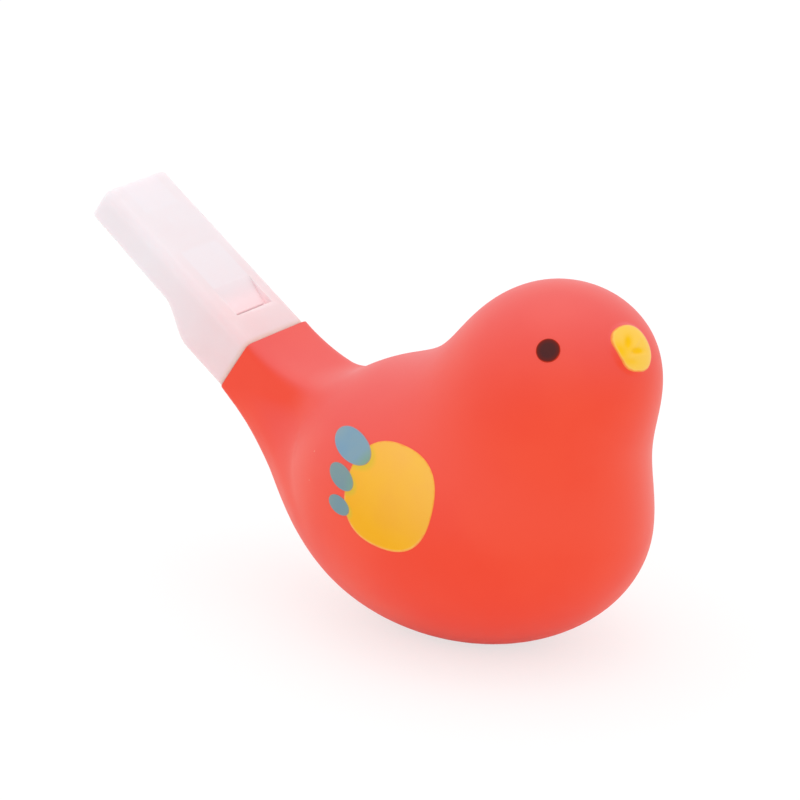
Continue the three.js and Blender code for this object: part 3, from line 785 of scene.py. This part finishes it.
# %% Paint the beak and the eyes
def waves(angle, radius, *terms):
    """A round with soft corners. Each term is their count, their height and the place of one in degrees."""
    for count, height, place in terms:
        radius += height * math.cos(count * (angle - math.radians(place)))
    return radius * math.cos(angle), radius * math.sin(angle)


def oval(half_length, half_width, tilt):
    c, s = math.cos(tilt), math.sin(tilt)
    return lambda a: (half_length * math.cos(a) * c - half_width * math.sin(a) * s,
                      half_length * math.cos(a) * s + half_width * math.sin(a) * c)


def beak_outline(angle):
    return waves(angle, 4.16, (2, 0.22, -62), (3, 0.06, -59), (4, 0.14, 41))


# how deep the yellow is: pooled paint and painted shade in the bill's hollows and along its left and lower
# edge
def pool(p):
    return np.clip(soft_forms(BEAK_POOLS_AND_SHADE, p[:, 0], p[:, 1]), 0, 1)


BEAK_COAT = (-1.07, -0.13)  # its middle, across and up from the pad's foot
EYE_RADIUS = 2.05
points, poles, values = coat(beak_frame, BEAK_COAT, beak_outline, lift=0.08, rings_in=40, steps=96, pool=pool)
beak_mesh = skin_mesh("beak_coat", points, *poles, **values)
piece(beak_mesh, "bird", "beak_yellow", beak_yellow, "beak_paint")

eye_frame = skin_frame(HEAD, math.radians(64.1), math.radians(31.0))
paint_pair("eye_coat", "eye", "eye_brown", eye_brown, eye_frame, (0, 0), oval(EYE_RADIUS, EYE_RADIUS, 0),
           lift=0.07, rings_in=10, steps=64)

# %% [markdown]
# ## Wings
#
# Each wing is a yellow round with four faint corners, and three blue ovals lie over its rear edge. The tones
# of the spray are worked out for each point of the coats and kept on the mesh, where the paints read them.
# A painted picture would have to be fitted to the curved skin instead.

# %% Paint the wings
WING_BACK = 1.0
WING_RADIUS = 9.34
PALE_RUN = 16.0  # from the deepest to the palest yellow
HAZE_SHIFT = (0.45, -0.35)  # forward and up from the oval's middle
HAZE_REACH = 1.22  # in shares of the oval's size
HAZE_FADE = 0.25
HAZE_STRENGTH = 0.75
wing_frame = skin_frame(BELLY, math.radians(85.7), math.radians(17.9))
FEATHERS = [  # name, back and up from the wing's middle, half length, half width, tilt in degrees
    ("upper", 11.1, 6.6, 5.2, 2.6, -18),
    ("middle", 11.6, 1.1, 3.45, 1.85, -23.5),
    ("lower", 11.1, -3.7, 2.7, 1.5, -16),
]


def wing_outline(angle):
    return waves(angle, WING_RADIUS, (2, 0.13, 147), (4, 0.29, 40))


def pale(p):
    """Paler towards the top and a little towards the front."""
    return np.clip(0.5 + (0.5 * p[:, 0] + p[:, 1]) / PALE_RUN, 0, 1)


def haze(p):
    """Overspray on the yellow, just below and in front of each oval."""
    total = np.zeros(len(p))
    for _, back, up, half_length, half_width, tilt in FEATHERS:
        c, s = math.cos(math.radians(tilt)), math.sin(math.radians(tilt))
        x, y = p[:, 0] + back - HAZE_SHIFT[0], p[:, 1] - up - HAZE_SHIFT[1]
        reach = np.hypot((x * c + y * s) / half_length, (y * c - x * s) / half_width)
        total = np.maximum(total, np.clip(HAZE_REACH - reach, 0, HAZE_FADE) / HAZE_FADE)
    return HAZE_STRENGTH * total


def over(p):
    """How far a feather's point lies over the yellow patch."""
    reach = WING_RADIUS - np.hypot(p[:, 0] + WING_BACK, p[:, 1])
    return np.clip(0.1 + 0.45 * reach, 0, 0.9)


def is_small(name):
    """The two smaller ovals are a greyer blue, so every point of a feather says if it is on one of them."""
    return lambda p: np.full(len(p), float(name != "upper"))


paint_pair("wing_coat", "wing_patch", "wing_yellow", wing_yellow, wing_frame, (-WING_BACK, 0), wing_outline,
           lift=0.05, rings_in=44, steps=144, pale=pale, haze=haze)
for name, back, up, half_length, half_width, tilt in FEATHERS:
    paint_pair(f"feather_{name}_coat", f"wing_feather_{name}", "feather_blue", feather_blue,
               wing_frame, (-back, up), oval(half_length, half_width, math.radians(tilt)),
               lift=0.09, rings_in=16, steps=72, over=over, small=is_small(name))

# %% [markdown]
# ## The mouthpiece
#
# The outside is a loft of rounded boxes: level next to the neck, a soft step for the teeth, and a flat end
# for the lips with a rounded rim. The recess, the slot, the windway and the chamber are cut out of it with
# exact booleans, as the mould's slides do it.

# %% Sections of the whistle
CORNER_STEPS = 9
WORN_EDGE = ((0.0, 0.3), (0.1, 0.1), (0.3, 0.0))  # how far behind a face, and how far inside the outline


def section(x, half_width, top, bottom, top_corner, under_corner):
    points = []
    corners = [(1, 1, 0, top_corner), (1, -1, 1, under_corner),
               (-1, -1, 2, under_corner), (-1, 1, 3, top_corner)]
    for side, up, quarter, radius in corners:
        across = side * (half_width - radius)
        height = top - radius if up > 0 else bottom + radius
        for k in range(CORNER_STEPS + 1):
            angle = math.pi / 2 * (quarter + k / CORNER_STEPS)
            points.append((x, across + radius * math.sin(angle), height + radius * math.cos(angle)))
    return np.array(points)


def circle(x, radius):
    """A round with as many points as a section, so that the two can be joined."""
    turn = 2 * math.pi * (np.arange(4 * (CORNER_STEPS + 1)) + 0.5) / (4 * (CORNER_STEPS + 1))
    return np.stack([np.full_like(turn, x), radius * np.sin(turn), radius * np.cos(turn)], -1)


def mouthpiece_section(from_rim, inset=0.0):
    rise, thinner = smooth_step(from_rim, GRIP_END, LIP_START), smooth_step(from_rim, LIP_START, LENGTH)
    height = 2 * GRIP - rise * (2 * GRIP - LIP_HEIGHT) - thinner * (LIP_HEIGHT - MOUTH_HEIGHT)
    return section(-from_rim, NECK_HALF[0] - SET_IN - inset, GRIP - inset, GRIP - height + inset,
                   TOP_CORNER - inset, UNDER_CORNER - inset)


def spigot_section(x, inset=0.0):
    corner = SPIGOT_CORNER - inset
    return section(x, SPIGOT[0] - inset, SPIGOT[1] - inset, inset - SPIGOT[1], corner, corner)


def worn_end(shape, face, inwards):
    """Rings that round a shape's edge from its face inwards, which is 1 or -1 along x."""
    return [shape(face + inwards * behind, inset) for behind, inset in WORN_EDGE]


print("points in a section:", len(circle(0, 1)))


# %% Blocks that cut
def mesh_object(mesh):
    thing = bpy.data.objects.new(mesh.name, mesh)
    scene.collection.objects.link(thing)
    return thing


def face_outwards(mesh):
    work = bmesh.new()
    work.from_mesh(mesh)
    bmesh.ops.recalc_face_normals(work, faces=work.faces)
    work.to_mesh(mesh)
    work.free()


def prism(name, near, far):
    """A solid between two outlines with as many points, given in millimetres."""
    n = len(near)
    mesh = bpy.data.meshes.new(name)
    mesh.from_pydata([tuple(v * MM for v in p) for p in near + far], [],
                     [tuple(range(n)), tuple(range(2 * n - 1, n - 1, -1))]
                     + [(i, i + n, (i + 1) % n + n, (i + 1) % n) for i in range(n)])
    face_outwards(mesh)
    return mesh_object(mesh)


def slab(name, profile, half_width):
    """A side profile of x and z points, as wide as asked."""
    return prism(name, [(x, -half_width, z) for x, z in profile], [(x, half_width, z) for x, z in profile])


def block(name, x0, x1, half_width, z0, z1):
    return slab(name, [(x0, z0), (x1, z0), (x1, z1), (x0, z1)], half_width)


def pocket_cutter():
    """The mouth pocket in plan is a bowl: wide at the lips and round at its inner end."""
    middle = POCKET_DEPTH - POCKET_INNER - LENGTH
    plan = [(-LENGTH - BEYOND, -POCKET_HALF), (-LENGTH, -POCKET_HALF)]
    for turn in np.linspace(-math.pi / 2, math.pi / 2, 21):
        plan.append((middle + POCKET_INNER * math.cos(turn), POCKET_INNER * math.sin(turn)))
    plan += [(-LENGTH, POCKET_HALF), (-LENGTH - BEYOND, POCKET_HALF)]
    low, high = JET - POCKET_HEIGHT / 2, JET + POCKET_HEIGHT / 2
    return prism("pocket", [(x, y, low) for x, y in plan], [(x, y, high) for x, y in plan])


def take_modifiers(thing):
    """Make what the modifiers show the thing's own mesh."""
    made = bpy.data.meshes.new_from_object(thing.evaluated_get(bpy.context.evaluated_depsgraph_get()))
    thing.modifiers.clear()
    before, thing.data = thing.data, made
    bpy.data.meshes.remove(before)


def cut(target, cutter):
    modifier = target.modifiers.new("cut", "BOOLEAN")
    modifier.object, modifier.operation, modifier.solver = cutter, "DIFFERENCE", "EXACT"
    take_modifiers(target)
    bpy.data.objects.remove(cutter)


# %% Cut the mouthpiece
LIP_ROUND = 0.8
LIP_INSET = 0.75  # the end stays a little wider than the rounding, so that the small corners keep a radius
LIP_SOFT = 34.0  # where the even rings of the lip part begin
rings = []
for turn in np.linspace(math.pi / 2, 0, 9):
    inset = min(LIP_ROUND * (1 - math.cos(turn)), LIP_INSET)
    rings.append(mouthpiece_section(LENGTH - LIP_ROUND * (1 - math.sin(turn)), inset))
rings += [mouthpiece_section(d) for d in np.linspace(LIP_SOFT, LIP_START, 6)[:-1]]
rings += [mouthpiece_section(d) for d in np.linspace(LIP_START, GRIP_END, 25)]
rings += [mouthpiece_section(d) for d in np.linspace(GRIP_END, SEAT, 9)[1:]]
rings += [spigot_section(-SEAT)] + worn_end(spigot_section, SPIGOT_LENGTH, -1)[::-1]
mouthpiece = mesh_object(skin_mesh("mouthpiece_shell", rings, rings[0].mean(0), rings[-1].mean(0)))

labium_back = LABIUM_RUN - LABIUM
labium_profile = [(-LABIUM, GRIP), (-LABIUM, JET), (labium_back, CHAMBER[1] + GAP), (labium_back, GRIP)]
ramp_profile = [(-RAMP_START, GRIP), (-LABIUM, GRIP - RAMP_DEPTH), (-LABIUM, GRIP + BEYOND),
                (-RAMP_START, GRIP + BEYOND)]
chamber = block("chamber", -slot_start, SPIGOT_LENGTH + BEYOND, CHAMBER[0], -CHAMBER[1], CHAMBER[1])
cut(chamber, slab("labium", labium_profile, CHAMBER[0] + BEYOND))
cut(mouthpiece, chamber)
cut(mouthpiece, slab("ramp", ramp_profile, RECESS_HALF))
cut(mouthpiece, block("slot", -slot_start, -LABIUM, RECESS_HALF - GAP, WAY_FLOOR, GRIP))
cut(mouthpiece, block("seat", -BLOCK_END - GAP, GAP - slot_start, RECESS_HALF - GAP,
                      WAY_FLOOR - BLOCK_THICKNESS - GAP, ROOF))
cut(mouthpiece, block("windway", GAP - LENGTH, -BLOCK_END, POCKET_INNER - GAP, WAY_FLOOR, ROOF - GAP))
cut(mouthpiece, pocket_cutter())
print("mouthpiece after the cuts:", len(mouthpiece.data.polygons), "faces")

# %% [markdown]
# ## Soft edges and the place in the neck
#
# A moulded edge is never sharp. A bevel rounds each by a tenth of a millimetre, which is enough to catch the
# light. Then the mesh is tilted from the whistle's own axis into the neck.

# %% Finish the mouthpiece
EDGE_ROUND = 0.12
CREASE = math.radians(35)  # edges sharper than this stay crisp
whistle_matrix = Matrix.Translation(Vector(NECK * MM)) @ Matrix.Rotation(TAIL_RISE, 4, "Y")


def into_the_neck(mesh):
    mesh.transform(whistle_matrix)
    mesh.shade_smooth()
    mesh.set_sharp_from_angle(angle=CREASE)


bevel = mouthpiece.modifiers.new("soft edges", "BEVEL")
bevel.width, bevel.segments, bevel.limit_method = EDGE_ROUND * MM, 2, "ANGLE"
bevel.angle_limit, bevel.miter_outer = math.radians(30), "MITER_ARC"
take_modifiers(mouthpiece)
mesh = mouthpiece.data
bpy.data.objects.remove(mouthpiece)
mesh.name = "mouthpiece_shell"
mesh.materials.clear()
into_the_neck(mesh)
piece(mesh, "whistle", "milky_plastic", milky_plastic, "mouthpiece")

# %% [markdown]
# ## The tube that dips into the water
#
# One skin makes the whole tube: a boxy plug, a wider collar, the round tube, and back through its bore. Every
# ring has as many points, so boxes turn into circles without a seam. The block is a plain bar that is hardly
# seen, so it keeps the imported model's mesh and only gets the white plastic.

# %% Build the tube
TUBE_RADIUS = 2.7
BORE_RADIUS = 1.7
TUBE_REACH = 50.0
PLUG_LENGTH = 6.0
COLLAR_LENGTH = 2.0
TUBE_FOOT = ((0.0, 0.5), (0.15, 0.15), (0.5, 0.0))  # how far past the collar, and how much wider
TUBE_TIP = ((0.3, 0.0), (0.08, -0.1), (0.0, -0.35))  # the same, before the tube's end
collar = SPIGOT_LENGTH + GAP
collar_end = collar + COLLAR_LENGTH
plug = CHAMBER - GAP


def plug_section(x, inset=0.0):
    corner = 0.4 - inset / 2
    return section(x, plug[0] - inset, plug[1] - inset, inset - plug[1], corner, corner)


rings = [circle(x, BORE_RADIUS) for x in (TUBE_REACH, 20, collar, collar - PLUG_LENGTH)]
rings += worn_end(plug_section, collar - PLUG_LENGTH, 1) + [plug_section(collar)]
rings += worn_end(spigot_section, collar, 1) + worn_end(spigot_section, collar_end, -1)[::-1]
rings += [circle(collar_end + past, TUBE_RADIUS + wider) for past, wider in TUBE_FOOT]
rings += [circle(x, TUBE_RADIUS) for x in np.linspace(15, 49, 12)]
rings += [circle(TUBE_REACH - before, TUBE_RADIUS + wider) for before, wider in TUBE_TIP]
around, count = len(rings[0]), len(rings)
faces = [(i * around + j, i * around + (j + 1) % around, (i + 1) % count * around + (j + 1) % around,
          (i + 1) % count * around + j) for i in range(count) for j in range(around)]
mesh = bpy.data.meshes.new("dip_tube")
mesh.from_pydata((np.concatenate(rings) * MM).tolist(), [], faces)
face_outwards(mesh)
into_the_neck(mesh)
piece(mesh, "whistle", "white_plastic", white_plastic, "resonator_tube")

windway_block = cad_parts["windway_block"].data
windway_block.materials.clear()
windway_block.materials.append(white_plastic)

# %% [markdown]
# ## The table
#
# The toy stands on a white table that melts into the white room. A table that only takes light would show a
# deep shadow, and one that only glows would show none. So the camera sees a table that does both in part,
# while the toy gets the light of a plain white one.


# %% Make the table
def seen_rays(tree, in_gloss=1.0):
    """One where the camera looks, straight or by way of a mirror or a clear piece."""
    path = add(tree, "LightPath").outputs
    mirrored_share = times(tree, path["Is Glossy Ray"], in_gloss)
    seen = math_node(tree, "MAXIMUM", path["Is Camera Ray"], mirrored_share)
    return math_node(tree, "MAXIMUM", seen, path["Is Transmission Ray"])


TABLE_SIZE = 3.0
TABLE_DROP = 0.03  # so that the toy's flat and the table don't share a plane
TABLE_WHITE = 0.96
TABLE_SHADED = 0.36  # how much of the light and the shadow on it the camera sees
TABLE_GLOWING = 0.68
GLOW_IN_GLOSS = 0.15  # a reflection shows a little of the glow and keeps the shadow
bpy.ops.mesh.primitive_grid_add(x_subdivisions=2, y_subdivisions=2, size=TABLE_SIZE,
                                location=(0, 0, -TABLE_DROP * MM))
table = bpy.context.object
table.name = "white_table"
table_white, tree = new_material("table_white")
seen = seen_rays(tree, GLOW_IN_GLOSS)
matt = add(tree, "BsdfDiffuse", {"Color": mix(tree, seen, grey(TABLE_WHITE), grey(TABLE_SHADED))})
lift = add(tree, "Emission", {"Color": grey(1.0), "Strength": times(tree, seen, TABLE_GLOWING)})
both = add(tree, "AddShader", {0: matt.outputs[0], 1: lift.outputs[0]})
add(tree, "OutputMaterial", {"Surface": both.outputs[0]})
table.data.materials.append(table_white)

# %% [markdown]
# ## The room and the lamp
#
# A white room lights the toy evenly from all sides. One large soft lamp above gives the light and the shadow
# on the table a little direction.

# %% Light the toy
ROOM_LIGHT = 0.94
ROOM_SEEN = 1.0
world = bpy.data.worlds.new("white room")
scene.world = world
world.use_nodes = True
tree = world.node_tree
tree.nodes.clear()
strength = add(tree, "MapRange", {"Value": seen_rays(tree), "To Min": ROOM_LIGHT, "To Max": ROOM_SEEN})
room = add(tree, "Background", {"Color": grey(1.0), "Strength": strength.outputs[0]})
add(tree, "OutputWorld", {"Surface": room.outputs[0]})

LAMP_SIZE = 0.7  # metres
LAMP_POWER = 0.7  # watts
LAMP_PLACE = (-0.12, 0.08, 0.8)
LAMP_AIM = Vector((0, 0, 0.03))
lamp_data = bpy.data.lights.new("soft lamp", "AREA")
lamp_data.shape, lamp_data.size, lamp_data.energy = "DISK", LAMP_SIZE, LAMP_POWER
lamp = bpy.data.objects.new("soft_lamp", lamp_data)
lamp.location = LAMP_PLACE
lamp.rotation_euler = (LAMP_AIM - lamp.location).to_track_quat("-Z", "Y").to_euler()
scene.collection.objects.link(lamp)
print("lamp:", LAMP_POWER, "W,", LAMP_SIZE, "m wide")

# %% [markdown]
# ## The camera
#
# The camera stands where the photograph was taken from: in front on the bird's right, a little above, and far
# enough away for a long lens, which keeps the shape free of strong perspective.

# %% Place the camera
AZIMUTH = math.radians(37.6)
ELEVATION = math.radians(20.47)
AWAY = 0.7  # metres
LENS = 181.4
AIM = Vector((-14.9, 0, 37.9)) * MM
level = math.cos(ELEVATION)
back = Vector((math.sin(AZIMUTH) * level, -math.cos(AZIMUTH) * level, math.sin(ELEVATION)))
camera_data = bpy.data.cameras.new("camera")
camera_data.lens, camera_data.sensor_width, camera_data.clip_start = LENS, 36, 0.01
camera = bpy.data.objects.new("camera", camera_data)
camera.location = AIM + AWAY * back
camera.rotation_euler = back.to_track_quat("Z", "Y").to_euler()
scene.collection.objects.link(camera)
scene.camera = camera
scene.view_settings.view_transform = "Standard"
print("camera at", [round(v, 3) for v in camera.location])

# %% [markdown]
# ## The end
#
# The scene is brought up to date once more.

# %% Finish
bpy.context.view_layer.update()
